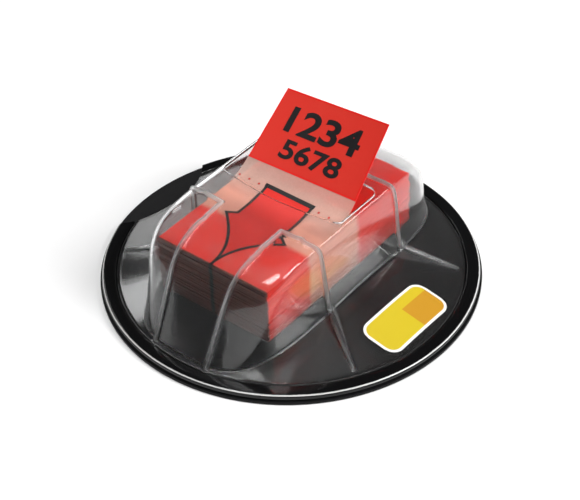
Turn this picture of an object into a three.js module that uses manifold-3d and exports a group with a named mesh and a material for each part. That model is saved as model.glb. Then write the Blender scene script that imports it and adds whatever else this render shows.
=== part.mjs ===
// Desk-grip dispenser with a stack of arrow film tabs, one tab drawn out of the slot.
// Millimetres, +Z up, origin under the middle of the base. The stack's length runs along Y,
// the sloping front faces -Y and the thumb notch is on the -X side.
import * as THREE from 'three';
import { mergeVertices } from 'three/addons/utils/BufferGeometryUtils.js';
import Module from 'manifold-3d';

const wasm = await Module();
wasm.setup();

// Base: grip pad, and tray with a raised outer ring. The margin is from the stack's front to the pad's edge
const endMargin = 14.25;
const padThickness = 0.75;
const padEdgeRound = 0.3;
const trayInset = 0.35;
const trayThickness = 0.75;
const ringWidth = 2.7;
const ringEdgeRound = 0.35;
const pedestalHeight = 3.5;
const pedestalMargin = 0.6;
const pedestalCornerRadius = 2.5;
const pedestalDraft = 0.5;

// Thumb notch through the tray's ring and the cover's skirt
const notchRadius = 18.4;
const notchDepth = 7.4;
const notchCentreY = 1;

// Tabs
const tabWidth = 25.4;
const tabLength = 43.2;
const stackHeight = 11.5;
const stackForwardShift = 0.9;
const bundleCount = 12;
const bundleSlip = 0.11;
const filmThickness = 0.15;

// Clear cover
const sheet = 0.5;
const rimClearance = 0.3;
const rimWidth = 0.5;
const endFootInset = 0.5;
const skirtRise = 10;
const sideClearance = 2;
const sideDraft = 5.2;
const frontSlope = 63;
const crownClearance = 3.5;
const crownFall = 0.9;
const shoulderReach = 1.9;
const endShoulderReach = 5.4;
const shoulderInset = 0.15;

// Squareness of the cover's outlines: 2 is an ellipse, higher is nearer a rectangle
const crownSquareness = 7;
const cornerSquareness = 10;
const shoulderSquareness = 8;
const footSquareness = 3.4;
const shareSquareness = 9;

// Slot in the crown
const slotFront = -3.1;
const slotBack = 9;
const slotBow = 1.5;
const slotCornerRadius = 1.6;
const slotSideClearance = 1.2;

// Beads pressed into the cover
const beadWidth = 0.95;
const beadHeight = 0.42;
const frontRibSpacing = 14;
const frontRibFootSpacing = 12;
const frontCrossBeadY = -11;
const rearCrossBeadY = 11.5;
const crossBeadRake = 1.8;
const frontGussetWidth = 3;
const rearGussetWidth = 4.6;
const gussetHeight = 0.95;
const frontGussetEndY = -16.5;
const rearGussetEndY = 17.4;

// Dispensed tab
const panelLength = 15.2;
const panelAngleLeft = 35;
const panelAngleRight = 48;
const exitHeight = 0.1;
const exitY = 3;
const exitShift = 0.55;
const exitTilt = 2.5;
const liftOffLeft = -5.5;
const liftOffRight = -7.5;

// Sticker on the skirt
const stickerLength = 17.5;
const stickerHeight = 8.4;
const stickerCorner = 2.4;
const stickerThickness = 0.12;
const stickerGap = 0.12;
const stickerRimGap = 1.2;
const stickerAngle = -1.5;

// Fineness of the facets
const discSegments = 72;
const coverSegments = 80;
const arcSegments = 4;

const padRadius = tabLength / 2 + stackForwardShift + endMargin;
const trayRadius = padRadius - trayInset;
const ringInnerRadius = trayRadius - ringWidth;
const coverRadius = ringInnerRadius - rimClearance;
const skirtRadius = coverRadius - rimWidth;
const trayTop = padThickness + trayThickness;
const pedestalTop = trayTop + pedestalHeight;
const stackTop = pedestalTop + stackHeight;
const crownTop = stackTop + crownClearance + sheet;
const rimTop = trayTop + sheet;
const tau = Math.PI * 2;
const radians = THREE.MathUtils.degToRad;
const mix = THREE.MathUtils.lerp;

// A closed body from a list of loops with equally many points, capped at both ends.
function loftLoops(loops) {
  const count = loops[0].length;
  const corners = loops.flat();
  const faces = [];
  for (let row = 0; row < loops.length - 1; row++) {
    for (let i = 0; i < count; i++) {
      const a = row * count + i;
      const b = row * count + (i + 1) % count;
      faces.push(a, b, b + count, a, b + count, a + count);
    }
  }
  capLoop(corners, faces, 0, count, true);
  capLoop(corners, faces, (loops.length - 1) * count, count, false);
  return bodyFrom(corners, faces);
}

function capLoop(corners, faces, start, count, reversed) {
  const middle = new THREE.Vector3();
  for (let i = 0; i < count; i++) middle.add(corners[start + i]);
  corners.push(middle.divideScalar(count));
  const centre = corners.length - 1;
  for (let i = 0; i < count; i++) {
    const a = start + i;
    const b = start + (i + 1) % count;
    faces.push(...(reversed ? [b, a, centre] : [a, b, centre]));
  }
}

// The faces of a body, turned inside out where its volume would come out negative.
function bodyFrom(corners, faces) {
  let volume = 0;
  const normal = new THREE.Vector3();
  for (let i = 0; i < faces.length; i += 3) {
    const [a, b, c] = [corners[faces[i]], corners[faces[i + 1]], corners[faces[i + 2]]];
    volume += normal.crossVectors(b, c).dot(a);
  }
  const index = volume < 0 ? faces.slice().reverse() : faces;
  const geometry = new THREE.BufferGeometry().setFromPoints(corners);
  geometry.setIndex(index);
  return geometry;
}

function solid(geometry) {
  const bare = geometry.clone();
  bare.deleteAttribute('normal');
  bare.deleteAttribute('uv');
  const welded = mergeVertices(bare, 1e-5);
  return new wasm.Manifold(new wasm.Mesh({
    numProp: 3,
    vertProperties: new Float32Array(welded.attributes.position.array),
    triVerts: new Uint32Array(welded.index.array),
  }));
}

function geometryOf(body) {
  const mesh = body.getMesh();
  const geometry = new THREE.BufferGeometry();
  geometry.setAttribute('position', new THREE.BufferAttribute(new Float32Array(mesh.vertProperties), 3));
  geometry.setIndex(new THREE.BufferAttribute(new Uint32Array(mesh.triVerts), 1));
  geometry.computeVertexNormals();
  return geometry;
}

function roundedRectangle(halfWidth, halfLength, radius, z) {
  const points = [];
  for (const [sx, sy, from] of [[1, 1, 0], [-1, 1, 1], [-1, -1, 2], [1, -1, 3]]) {
    for (let i = 0; i <= arcSegments; i++) {
      const angle = (from + i / arcSegments) * Math.PI / 2;
      points.push(new THREE.Vector3(
        sx * (halfWidth - radius) + radius * Math.cos(angle),
        sy * (halfLength - radius) + radius * Math.sin(angle), z));
    }
  }
  return points;
}

// The scalloped cutter of the thumb notch, from a height upwards.
function notchCutter(bottom, top) {
  const cutter = new THREE.CylinderGeometry(notchRadius, notchRadius, top - bottom, discSegments);
  cutter.rotateX(Math.PI / 2);
  cutter.translate(notchDepth - padRadius - notchRadius, notchCentreY, (bottom + top) / 2);
  return solid(cutter);
}

function gripPadGeometry() {
  const profile = [new THREE.Vector2(0, 0)];
  const inset = padRadius - padEdgeRound;
  for (let i = 0; i <= arcSegments; i++) {
    const angle = (i / arcSegments - 1) * Math.PI / 2;
    profile.push(new THREE.Vector2(inset + padEdgeRound * Math.cos(angle),
      padEdgeRound + padEdgeRound * Math.sin(angle)));
  }
  profile.push(new THREE.Vector2(padRadius, padThickness));
  profile.push(new THREE.Vector2(0, padThickness));
  return new THREE.LatheGeometry(profile, discSegments).rotateX(Math.PI / 2);
}

// The tray's disc, its raised ring round the cover's rim, and the pedestal that carries the stack.
function baseTrayGeometry() {
  const ringTop = trayThickness + sheet;
  const profile = [new THREE.Vector2(0, 0), new THREE.Vector2(trayRadius, 0)];
  for (const [middle, from] of [[trayRadius - ringEdgeRound, 0], [ringInnerRadius + ringEdgeRound, 1]]) {
    for (let i = 0; i <= arcSegments; i++) {
      const angle = (from + i / arcSegments) * Math.PI / 2;
      profile.push(new THREE.Vector2(middle + ringEdgeRound * Math.cos(angle),
        ringTop - ringEdgeRound + ringEdgeRound * Math.sin(angle)));
    }
  }
  profile.push(new THREE.Vector2(ringInnerRadius, trayThickness), new THREE.Vector2(0, trayThickness));
  const disc = new THREE.LatheGeometry(profile, discSegments).rotateX(Math.PI / 2);
  const halfWidth = tabWidth / 2 + pedestalMargin;
  const halfLength = tabLength / 2 + pedestalMargin + stackForwardShift;
  const pedestal = loftLoops([
    roundedRectangle(halfWidth + pedestalDraft, halfLength + pedestalDraft, pedestalCornerRadius,
      trayThickness / 2),
    roundedRectangle(halfWidth, halfLength, pedestalCornerRadius, trayThickness + pedestalHeight),
  ]);
  const body = solid(disc).add(solid(pedestal)).subtract(notchCutter(-sheet, ringTop + sheet));
  return geometryOf(body);
}

// Folded tabs on the pedestal: one block whose bundles have slipped a little.
function tabStackGeometry() {
  const loops = [];
  for (let i = 0; i < bundleCount; i++) {
    const inner = i > 0 && i < bundleCount - 1;
    const slipX = inner ? bundleSlip * Math.sin(i * 2.4) : 0;
    const slipY = inner ? bundleSlip * Math.cos(i * 1.7) : 0;
    for (const level of [i, i + 1]) {
      const z = level * stackHeight / bundleCount;
      loops.push([[1, 1], [-1, 1], [-1, -1], [1, -1]].map(([sx, sy]) => new THREE.Vector3(
        sx * tabWidth / 2 + slipX, sy * tabLength / 2 + slipY, z)));
    }
  }
  return loftLoops(loops);
}

// Distance from the middle to an outline between an ellipse and a rectangle.
function outlineReach(halfWidth, halfLength, squareness, angle) {
  const across = Math.abs(Math.cos(angle) / halfWidth) ** squareness;
  const along = Math.abs(Math.sin(angle) / halfLength) ** squareness;
  return (across + along) ** (-1 / squareness);
}

const coneHeight = (radius) => rimTop + (skirtRadius - radius) * Math.tan(radians(skirtRise));

// The cover's key outlines: top edge of the dome, its shoulder and its foot.
const shoulderZ = crownTop - shoulderReach;
const endShoulderZ = crownTop - endShoulderReach;
const shoulderHalfWidth = tabWidth / 2 + sideClearance + sheet;
const footDrop = shoulderZ - coneHeight(shoulderHalfWidth);
const footHalfWidth = shoulderHalfWidth + footDrop * Math.tan(radians(sideDraft));
const footHalfLength = skirtRadius - endFootInset;
const endRun = (height) => (height - coneHeight(footHalfLength)) / Math.tan(radians(frontSlope));
const shoulderHalfLength = footHalfLength - endRun(endShoulderZ);
const cornerHalfLength = footHalfLength - endRun(crownTop - crownFall);
const crownHalfWidth = shoulderHalfWidth - shoulderReach;
const crownHalfLength = cornerHalfLength - endShoulderReach;

// How far a direction points to the sloping ends rather than to the long sides, 0 to 1.
function endShare(angle) {
  const reach = outlineReach(shoulderHalfWidth, cornerHalfLength, shareSquareness, angle);
  return Math.abs(reach * Math.sin(angle) / cornerHalfLength) ** 6;
}

// A point of the cover's outer face. The angle turns round the middle. The station runs from
// 0 at the crown's middle over its edge (1), the shoulder (2), the foot (3) and the skirt's end (4)
// to the flat rim's edge (5).
function coverPoint(angle, station) {
  const share = endShare(angle);
  const edge = [outlineReach(crownHalfWidth, crownHalfLength, crownSquareness, angle),
    mix(crownTop - crownFall * 0.3, crownTop - crownFall, share)];
  const corner = [outlineReach(shoulderHalfWidth - shoulderInset, cornerHalfLength, cornerSquareness, angle),
    edge[1]];
  const shoulder = [outlineReach(shoulderHalfWidth, shoulderHalfLength, shoulderSquareness, angle),
    mix(shoulderZ, endShoulderZ, share)];
  const footReach = outlineReach(footHalfWidth, footHalfLength, footSquareness, angle);
  const foot = [footReach, coneHeight(footReach)];
  let spot;
  if (station <= 1) {
    spot = [edge[0] * station, crownTop - (crownTop - edge[1]) * station ** 2];
  } else if (station <= 2) {
    const u = station - 1;
    const weights = [(1 - u) ** 2, 2 * u * (1 - u), u ** 2];
    spot = [0, 1].map((k) => weights[0] * edge[k] + weights[1] * corner[k] + weights[2] * shoulder[k]);
  } else if (station <= 3) {
    spot = [0, 1].map((k) => mix(shoulder[k], foot[k], station - 2));
  } else if (station <= 4) {
    const radius = mix(footReach, skirtRadius, station - 3);
    spot = [radius, coneHeight(radius)];
  } else {
    spot = [mix(skirtRadius, coverRadius, station - 4), rimTop];
  }
  return new THREE.Vector3(spot[0] * Math.cos(angle), spot[0] * Math.sin(angle), spot[1]);
}

function coverNormal(angle, station) {
  const step = 1e-3;
  const around = coverPoint(angle + step, station).sub(coverPoint(angle - step, station));
  const outward = coverPoint(angle, station + step).sub(coverPoint(angle, station - step));
  return outward.cross(around).normalize();
}

// The thin shell: outer face, inner face a sheet's thickness inside it, joined at the rim.
function coverShell() {
  const stations = [0.4, 0.75, 1, 1.25, 1.5, 1.75, 2, 2.5, 3, 3.5, 4, 4.3, 5];
  const corners = [coverPoint(0, 0)];
  const faces = [];
  const vertex = (ring, i) => 1 + ring * coverSegments + (i + coverSegments) % coverSegments;
  for (const station of stations) {
    for (let i = 0; i < coverSegments; i++) corners.push(coverPoint(i / coverSegments * tau, station));
  }
  for (let i = 0; i < coverSegments; i++) {
    faces.push(0, vertex(0, i), vertex(0, i + 1));
    for (let ring = 0; ring < stations.length - 1; ring++) {
      faces.push(vertex(ring, i), vertex(ring + 1, i), vertex(ring + 1, i + 1));
      faces.push(vertex(ring, i), vertex(ring + 1, i + 1), vertex(ring, i + 1));
    }
  }
  const outer = new THREE.BufferGeometry().setFromPoints(corners);
  outer.setIndex(faces);
  outer.computeVertexNormals();
  const normals = outer.attributes.normal;
  const inner = corners.map((corner, i) => new THREE.Vector3().fromBufferAttribute(normals, i)
    .multiplyScalar(-sheet).add(corner));
  const half = corners.length;
  const innerFaces = faces.map((v) => v + half).reverse();
  const rim = [];
  for (let i = 0; i < coverSegments; i++) {
    const a = vertex(stations.length - 1, i);
    const b = vertex(stations.length - 1, i + 1);
    rim.push(a, a + half, b + half, a, b + half, b);
  }
  return bodyFrom([...corners, ...inner], [...faces, ...innerFaces, ...rim]);
}

// The angle at which a station's outline reaches a wanted x or y, between two bounds.
function angleWhere(axis, value, station, low, high) {
  const rising = coverPoint(high, station)[axis] > coverPoint(low, station)[axis];
  for (let i = 0; i < 40; i++) {
    const middle = (low + high) / 2;
    const below = coverPoint(middle, station)[axis] < value;
    if (below === rising) low = middle;
    else high = middle;
  }
  return (low + high) / 2;
}

// A raised bead along a line of places, with a half-round top and its root inside the sheet.
function beadAlong(places, width, height) {
  const loops = places.map(({ spot, normal }, i) => {
    const share = i / (places.length - 1);
    const before = places[Math.max(i - 1, 0)].spot;
    const after = places[Math.min(i + 1, places.length - 1)].spot;
    const side = after.clone().sub(before).cross(normal).normalize();
    const section = [[-width(share) / 2, -sheet / 2], [width(share) / 2, -sheet / 2]];
    for (let k = 0; k <= 4; k++) {
      const turn = k / 4 * Math.PI;
      section.push([Math.cos(turn) * width(share) / 2, Math.sin(turn) * height(share)]);
    }
    return section.map(([s, h]) => spot.clone().addScaledVector(side, s).addScaledVector(normal, h));
  });
  return solid(loftLoops(loops));
}

const placeOnCover = ([angle, station]) => ({
  spot: coverPoint(angle, station),
  normal: coverNormal(angle, Math.max(station, 0.01)),
});

// A tapered ridge on the skirt's cone, from just inside the dome's wall to a point further out.
function gusset(wallPlace, endY, wide) {
  const side = Math.sign(wallPlace.x);
  const endX = side * Math.sqrt((skirtRadius - beadWidth) ** 2 - endY ** 2);
  const places = [];
  for (let i = 0; i <= 5; i++) {
    const x = mix(wallPlace.x - side * sheet / 2, endX, i / 5);
    const y = mix(wallPlace.y, endY, i / 5);
    const radius = Math.hypot(x, y);
    const tilt = Math.tan(radians(skirtRise));
    places.push({
      spot: new THREE.Vector3(x, y, coneHeight(radius)),
      normal: new THREE.Vector3(x / radius * tilt, y / radius * tilt, 1).normalize(),
    });
  }
  return beadAlong(places, (share) => mix(wide, beadWidth * 0.6, share),
    (share) => mix(gussetHeight, beadHeight * 0.5, share));
}

// A straight line over the crown between two points given by x and y, without its last point.
function crownLine(from, to, steps) {
  const line = [];
  for (let i = 0; i < steps; i++) {
    const x = mix(from[0], to[0], i / steps);
    const y = mix(from[1], to[1], i / steps);
    const angle = Math.atan2(y, x);
    const reach = outlineReach(crownHalfWidth, crownHalfLength, crownSquareness, angle);
    line.push([angle, Math.hypot(x, y) / reach]);
  }
  return line;
}

// A line from the crown's edge down to a station, while x or y goes from one value to another.
function slopeLine(axis, lastStation, values, turn) {
  const line = [];
  for (let i = 0; i <= 10; i++) {
    const station = mix(1, lastStation, i / 10);
    line.push([angleWhere(axis, mix(...values, i / 10), station, ...turn), station]);
  }
  return line;
}

const edgeOf = (slope) => coverPoint(...slope[0]).toArray().slice(0, 2);
const evenBead = (line) => beadAlong(line.map(placeOnCover), () => beadWidth, () => beadHeight);
const frontTurn = (side) => (side > 0 ? [-Math.PI / 2, -0.5] : [-Math.PI / 2, 0.5 - Math.PI]);
const sideTurn = (side) => (side > 0 ? [-1.35, 1.35] : [Math.PI - 1.35, Math.PI + 1.35]);

function sideSlope(side, beadY) {
  return slopeLine('y', 3, [beadY, beadY + crossBeadRake], sideTurn(side));
}

// A rib from the front cross bead over the front edge and down to the skirt.
function frontRib(side) {
  const top = side * frontRibSpacing / 2;
  const slope = slopeLine('x', 3.1, [top, side * frontRibFootSpacing / 2], frontTurn(side));
  return evenBead([...crownLine([top, frontCrossBeadY], edgeOf(slope), 3), ...slope]);
}

function frontCrossBead(side) {
  const slope = sideSlope(side, frontCrossBeadY);
  return evenBead([...crownLine([side * frontRibSpacing / 2, frontCrossBeadY], edgeOf(slope), 3), ...slope]);
}

function rearCrossBead() {
  const [left, right] = [-1, 1].map((side) => sideSlope(side, rearCrossBeadY));
  const crown = crownLine(edgeOf(left), edgeOf(right), 6).slice(1);
  return evenBead([...left.reverse(), ...crown, ...right]);
}

function coverBeads() {
  const beads = [rearCrossBead()];
  for (const side of [1, -1]) {
    beads.push(frontRib(side), frontCrossBead(side));
    for (const [beadY, endY, wide] of [[frontCrossBeadY, frontGussetEndY, frontGussetWidth],
      [rearCrossBeadY, rearGussetEndY, rearGussetWidth]]) {
      const foot = sideSlope(side, beadY).at(-1);
      beads.push(gusset(coverPoint(...foot), endY, wide));
    }
  }
  return beads;
}

// The tab slot: a rounded rectangle whose front edge bows forward.
function slotCutter() {
  const half = crownHalfWidth + slotSideClearance / 2;
  const corner = slotCornerRadius;
  const outline = new THREE.Shape();
  outline.moveTo(-half, slotFront + corner);
  outline.quadraticCurveTo(-half, slotFront, -half + corner, slotFront - slotBow * 0.15);
  outline.quadraticCurveTo(0, slotFront - slotBow * 2, half - corner, slotFront - slotBow * 0.15);
  outline.quadraticCurveTo(half, slotFront, half, slotFront + corner);
  outline.lineTo(half, slotBack - corner);
  outline.absarc(half - corner, slotBack - corner, corner, 0, Math.PI / 2, false);
  outline.lineTo(-half + corner, slotBack);
  outline.absarc(-half + corner, slotBack - corner, corner, Math.PI / 2, Math.PI, false);
  outline.closePath();
  const depth = crownClearance + sheet * 2;
  const prism = new THREE.ExtrudeGeometry(outline,
    { depth, bevelEnabled: false, curveSegments: arcSegments });
  return solid(prism.translate(0, 0, crownTop + sheet - depth));
}

function clearCoverGeometry() {
  let body = solid(coverShell());
  for (const bead of coverBeads()) body = body.add(bead);
  body = body.subtract(slotCutter()).subtract(notchCutter(0, pedestalTop));
  return geometryOf(body);
}

// A thin solid over a face given by a function of two shares, 0 to 1, thickened on its upper side.
function sheetSolid(facePoint, alongSteps, acrossSteps, thickness) {
  const corners = [];
  const faces = [];
  const row = acrossSteps + 1;
  for (let i = 0; i <= alongSteps; i++) {
    for (let j = 0; j <= acrossSteps; j++) corners.push(facePoint(i / alongSteps, j / acrossSteps));
  }
  for (let i = 0; i < alongSteps; i++) {
    for (let j = 0; j < acrossSteps; j++) {
      const a = i * row + j;
      faces.push(a, a + row, a + row + 1, a, a + row + 1, a + 1);
    }
  }
  const lower = new THREE.BufferGeometry().setFromPoints(corners);
  lower.setIndex(faces);
  lower.computeVertexNormals();
  const normals = lower.attributes.normal;
  const upward = normals.getZ(0) > 0 ? 1 : -1;
  const upper = corners.map((corner, i) => new THREE.Vector3().fromBufferAttribute(normals, i)
    .multiplyScalar(thickness * upward).add(corner));
  const half = corners.length;
  const edge = [];
  for (let j = 0; j < acrossSteps; j++) edge.push(j);
  for (let i = 0; i < alongSteps; i++) edge.push(i * row + acrossSteps);
  for (let j = acrossSteps; j > 0; j--) edge.push(alongSteps * row + j);
  for (let i = alongSteps; i > 0; i--) edge.push(i * row);
  const rim = [];
  edge.forEach((a, k) => {
    const b = edge[(k + 1) % edge.length];
    rim.push(a, b, b + half, a, b + half, a + half);
  });
  const upperFaces = faces.map((v) => v + half).reverse();
  return bodyFrom([...corners, ...upper], [...faces, ...upperFaces, ...rim]);
}

// One long edge of the dispensed tab: flat on the stack, a bend, then the leaning panel.
function tabEdge(side, angle, liftOff) {
  const across = new THREE.Vector3(Math.cos(radians(exitTilt)), 0, Math.sin(radians(exitTilt)));
  const exit = new THREE.Vector3(exitShift, exitY, crownTop + exitHeight)
    .addScaledVector(across, side * tabWidth / 2);
  const rise = new THREE.Vector3(0, Math.cos(radians(angle)), Math.sin(radians(angle)));
  const front = new THREE.Vector3(side * tabWidth / 2, -stackForwardShift - tabLength / 2, stackTop);
  const lift = new THREE.Vector3(side * tabWidth / 2, liftOff, stackTop);
  const reach = exit.distanceTo(lift) * 0.38;
  const edge = new THREE.CurvePath();
  edge.add(new THREE.LineCurve3(front, lift));
  edge.add(new THREE.CubicBezierCurve3(lift, lift.clone().setY(liftOff + reach),
    exit.clone().addScaledVector(rise, -reach), exit));
  edge.add(new THREE.LineCurve3(exit, exit.clone().addScaledVector(rise, panelLength)));
  return edge;
}

function dispensedTabGeometry() {
  const edges = [tabEdge(-1, panelAngleLeft, liftOffLeft), tabEdge(1, panelAngleRight, liftOffRight)];
  const pieceSteps = 8;
  const facePoint = (along, across) => {
    const place = along * edges[0].curves.length;
    const piece = Math.min(Math.floor(place), edges[0].curves.length - 1);
    const [left, right] = edges.map((edge) => edge.curves[piece].getPoint(place - piece));
    return left.lerp(right, across);
  };
  return sheetSolid(facePoint, pieceSteps * edges[0].curves.length, 4, filmThickness);
}

// A plain rounded sticker that follows the skirt's cone.
function skirtStickerGeometry() {
  const straight = stickerLength / 2 - stickerCorner;
  const facePoint = (along, across) => {
    const u = (along * 2 - 1) * stickerLength / 2;
    const past = Math.max(0, Math.abs(u) - straight);
    const cut = stickerCorner - Math.sqrt(Math.max(0, stickerCorner ** 2 - past ** 2));
    const v = (across * 2 - 1) * (stickerHeight / 2 - cut);
    const point = new THREE.Vector3(skirtRadius - stickerRimGap - stickerHeight / 2 + v, u, 0);
    const radius = Math.hypot(point.x, point.y);
    return point.setZ(coneHeight(radius) + stickerGap);
  };
  return sheetSolid(facePoint, 20, 4, stickerThickness);
}

function part(name, geometry, colour, roughness, metalness, more = {}) {
  const material = new THREE.MeshStandardMaterial({ color: colour, roughness, metalness, ...more });
  const mesh = new THREE.Mesh(geometry, material);
  mesh.name = name;
  return mesh;
}

const base = new THREE.Group();
const tray = part('base_tray', baseTrayGeometry(), 0x141414, 0.35, 0);
tray.position.z = padThickness;
base.add(part('grip_pad', gripPadGeometry(), 0x0c0c0c, 0.8, 0), tray);

const tabs = new THREE.Group();
const stack = part('tab_stack', tabStackGeometry(), 0xd8352a, 0.55, 0);
stack.position.set(0, -stackForwardShift, pedestalTop);
tabs.add(stack, part('dispensed_tab', dispensedTabGeometry(), 0xdd3a30, 0.5, 0));

const shell = new THREE.Group();
const sticker = part('skirt_sticker', skirtStickerGeometry(), 0xf2c71e, 0.45, 0);
sticker.rotation.z = radians(stickerAngle);
shell.add(part('clear_cover', clearCoverGeometry(), 0xe8ecec, 0.08, 0,
  { transparent: true, opacity: 0.35 }), sticker);

const dispenser = new THREE.Group();
dispenser.add(base, tabs, shell);

export default dispenser;
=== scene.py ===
import math

import bmesh
import bpy
import numpy as np
from mathutils import Matrix, Vector
from mathutils.kdtree import KDTree


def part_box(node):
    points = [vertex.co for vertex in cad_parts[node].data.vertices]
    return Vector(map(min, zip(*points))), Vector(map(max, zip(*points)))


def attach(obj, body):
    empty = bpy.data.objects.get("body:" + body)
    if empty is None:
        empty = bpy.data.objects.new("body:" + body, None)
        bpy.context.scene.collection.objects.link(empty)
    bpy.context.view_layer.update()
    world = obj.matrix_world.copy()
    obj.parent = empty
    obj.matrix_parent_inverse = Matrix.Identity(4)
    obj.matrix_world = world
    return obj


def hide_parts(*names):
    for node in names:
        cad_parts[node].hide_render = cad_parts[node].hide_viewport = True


# Looks of a desk-grip dispenser of film tabs, over its CAD frame. The frame is in metres, +Z up.
# Lengths below are in millimetres and turn into metres where a mesh, a light or the camera is made.

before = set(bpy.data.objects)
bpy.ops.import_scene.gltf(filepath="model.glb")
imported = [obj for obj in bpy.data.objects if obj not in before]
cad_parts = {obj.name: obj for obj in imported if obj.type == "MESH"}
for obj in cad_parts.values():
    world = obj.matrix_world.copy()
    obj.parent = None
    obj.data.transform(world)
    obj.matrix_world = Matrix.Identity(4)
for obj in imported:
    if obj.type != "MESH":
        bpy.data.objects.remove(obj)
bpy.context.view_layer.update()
mm = 0.001


def boxOf(node):
    low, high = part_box(node)
    return np.array(low) / mm, np.array(high) / mm


padHigh = boxOf("grip_pad")[1]
trayLow, trayHigh = boxOf("base_tray")
coverHigh = boxOf("clear_cover")[1]
stackLow, stackHigh = boxOf("tab_stack")


def stage(words):
    print("scene:", words)


# Meshes from arrays

def inScene(name, data):
    thing = bpy.data.objects.new(name, data)
    bpy.context.scene.collection.objects.link(thing)
    return thing


def newObject(name, vertices, faces, materials=()):
    mesh = bpy.data.meshes.new(name)
    mesh.from_pydata((np.asarray(vertices, float) * mm).tolist(), [], [list(face) for face in faces])
    mesh.validate()
    for material in materials:
        mesh.materials.append(material)
    return inScene(name, mesh)


def smooth(thing, sharpAngle):
    thing.data.shade_smooth()
    thing.data.set_sharp_from_angle(angle=math.radians(sharpAngle))
    return thing


def tidyMesh(thing, sharpAngle=35, mergeDistance=0.0005):
    work = bmesh.new()
    work.from_mesh(thing.data)
    bmesh.ops.remove_doubles(work, verts=work.verts, dist=mergeDistance * mm)
    bmesh.ops.dissolve_degenerate(work, edges=work.edges, dist=0.0002 * mm)
    bmesh.ops.recalc_face_normals(work, faces=work.faces)
    work.to_mesh(thing.data)
    work.free()
    return smooth(thing, sharpAngle)


def evaluatedMesh(thing):
    view = bpy.context.evaluated_depsgraph_get()
    return bpy.data.meshes.new_from_object(thing.evaluated_get(view))


def applyModifiers(thing):
    mesh, old = evaluatedMesh(thing), thing.data
    thing.modifiers.clear()
    thing.data = mesh
    bpy.data.meshes.remove(old)


def cutAway(thing, cutters, keepTogether=False):
    for cutter in cutters:
        cut = thing.modifiers.new("cut", "BOOLEAN")
        cut.operation = "UNION" if keepTogether else "DIFFERENCE"
        cut.solver = "EXACT"
        cut.object = cutter
    applyModifiers(thing)
    for cutter in cutters:
        bpy.data.objects.remove(cutter)
    return thing


def standsFor(thing, slotName, *nodes):
    if nodes:
        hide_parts(*nodes)
    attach(thing, "root")
    return thing


def bandFaces(rings, count):
    # quads between closed rings of points
    pairs = [(r * count + i, r * count + (i + 1) % count) for r in range(rings - 1) for i in range(count)]
    return [(a, b, b + count, a + count) for a, b in pairs]


def ringSolid(name, rings):
    # a closed solid through outlines, each with its height
    count = len(rings[0][0])
    points = np.vstack([np.column_stack([outline, np.full(count, height)]) for outline, height in rings])
    caps = [tuple(reversed(range(count))), tuple(range(len(points) - count, len(points)))]
    return newObject(name, points, bandFaces(len(rings), count) + caps)


def lathe(name, profile, turns):
    angle = np.arange(turns) / turns * math.tau
    rings = [np.column_stack([radius * np.cos(angle), radius * np.sin(angle), np.full(turns, height)])
             for radius, height in profile]
    return tidyMesh(newObject(name, np.vstack(rings), bandFaces(len(rings), turns)))


def arc(centre, radius, start, end, steps):
    angle = np.radians(np.linspace(start, end, steps + 1))
    return np.column_stack([centre[0] + radius * np.cos(angle), centre[1] + radius * np.sin(angle)])


def roundedRectangle(halfWidth, halfLength, radius, steps=12):
    corners = [(1, 1, 0), (-1, 1, 90), (-1, -1, 180), (1, -1, 270)]
    return np.vstack([arc((sx * (halfWidth - radius), sy * (halfLength - radius)), radius,
                          start, start + 90, steps) for sx, sy, start in corners])


def gridFaces(rows, columns):
    return [(r * columns + c, r * columns + c + 1, (r + 1) * columns + c + 1, (r + 1) * columns + c)
            for r in range(rows - 1) for c in range(columns - 1)]


def closedSheet(name, top, bottom, faces, materials):
    # a thin solid between two like sheets of points
    count = len(top)
    edges = dict.fromkeys((a, b) for face in faces for a, b in zip(face, (*face[1:], face[0])))
    sides = [(b, a, a + count, b + count) for a, b in edges if (b, a) not in edges]
    underside = [tuple(i + count for i in reversed(face)) for face in faces]
    return newObject(name, np.vstack([top, bottom]), list(faces) + underside + sides, materials)


def writeMap(thing, flat):
    # the sheet's flat places, as the map that its print follows
    layer = thing.data.uv_layers.new(name="print")
    for loop in thing.data.loops:
        layer.data[loop.index].uv = flat[loop.vertex_index % len(flat)]


def runsAlong(points):
    # how far each point of a line is from the line's start
    return np.concatenate([[0], np.cumsum(np.linalg.norm(np.diff(points, axis=0), axis=1))])


def pointsAt(places, runs, points):
    # what lies at the places of a line, between its own points
    return np.stack([np.interp(places, runs, column) for column in points.T], axis=-1)


def unit(vectors):
    return vectors / np.maximum(np.linalg.norm(vectors, axis=-1, keepdims=True), 1e-12)


def blend(first, second, share):
    return first + (second - first) * share


# Material nodes

def addNode(tree, kind, inputs=None, **settings):
    node = tree.nodes.new(kind)
    for name, value in settings.items():
        setattr(node, name, value)
    for name, value in (inputs or {}).items():
        socket = node.inputs[name]
        if isinstance(value, bpy.types.NodeSocket):
            tree.links.new(value, socket)
        else:
            socket.default_value = value
    return node


def maths(tree, operation, *values, clamp=False):
    inputs = dict(enumerate(values))
    return addNode(tree, "ShaderNodeMath", inputs, operation=operation, use_clamp=clamp).outputs[0]


def mixColour(tree, share, first, second, mode="MIX"):
    node = addNode(tree, "ShaderNodeMix", data_type="RGBA", blend_type=mode)
    for position, value in ((0, share), (6, first), (7, second)):
        if isinstance(value, bpy.types.NodeSocket):
            tree.links.new(value, node.inputs[position])
        elif position == 0:
            node.inputs[0].default_value = value
        else:
            node.inputs[position].default_value = (*value, 1)
    return node.outputs[2]


def mapRange(tree, value, start, end, first=0.0, last=1.0, **settings):
    inputs = {"Value": value, "From Min": start, "From Max": end, "To Min": first, "To Max": last}
    return addNode(tree, "ShaderNodeMapRange", inputs, clamp=True, **settings).outputs["Result"]


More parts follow.
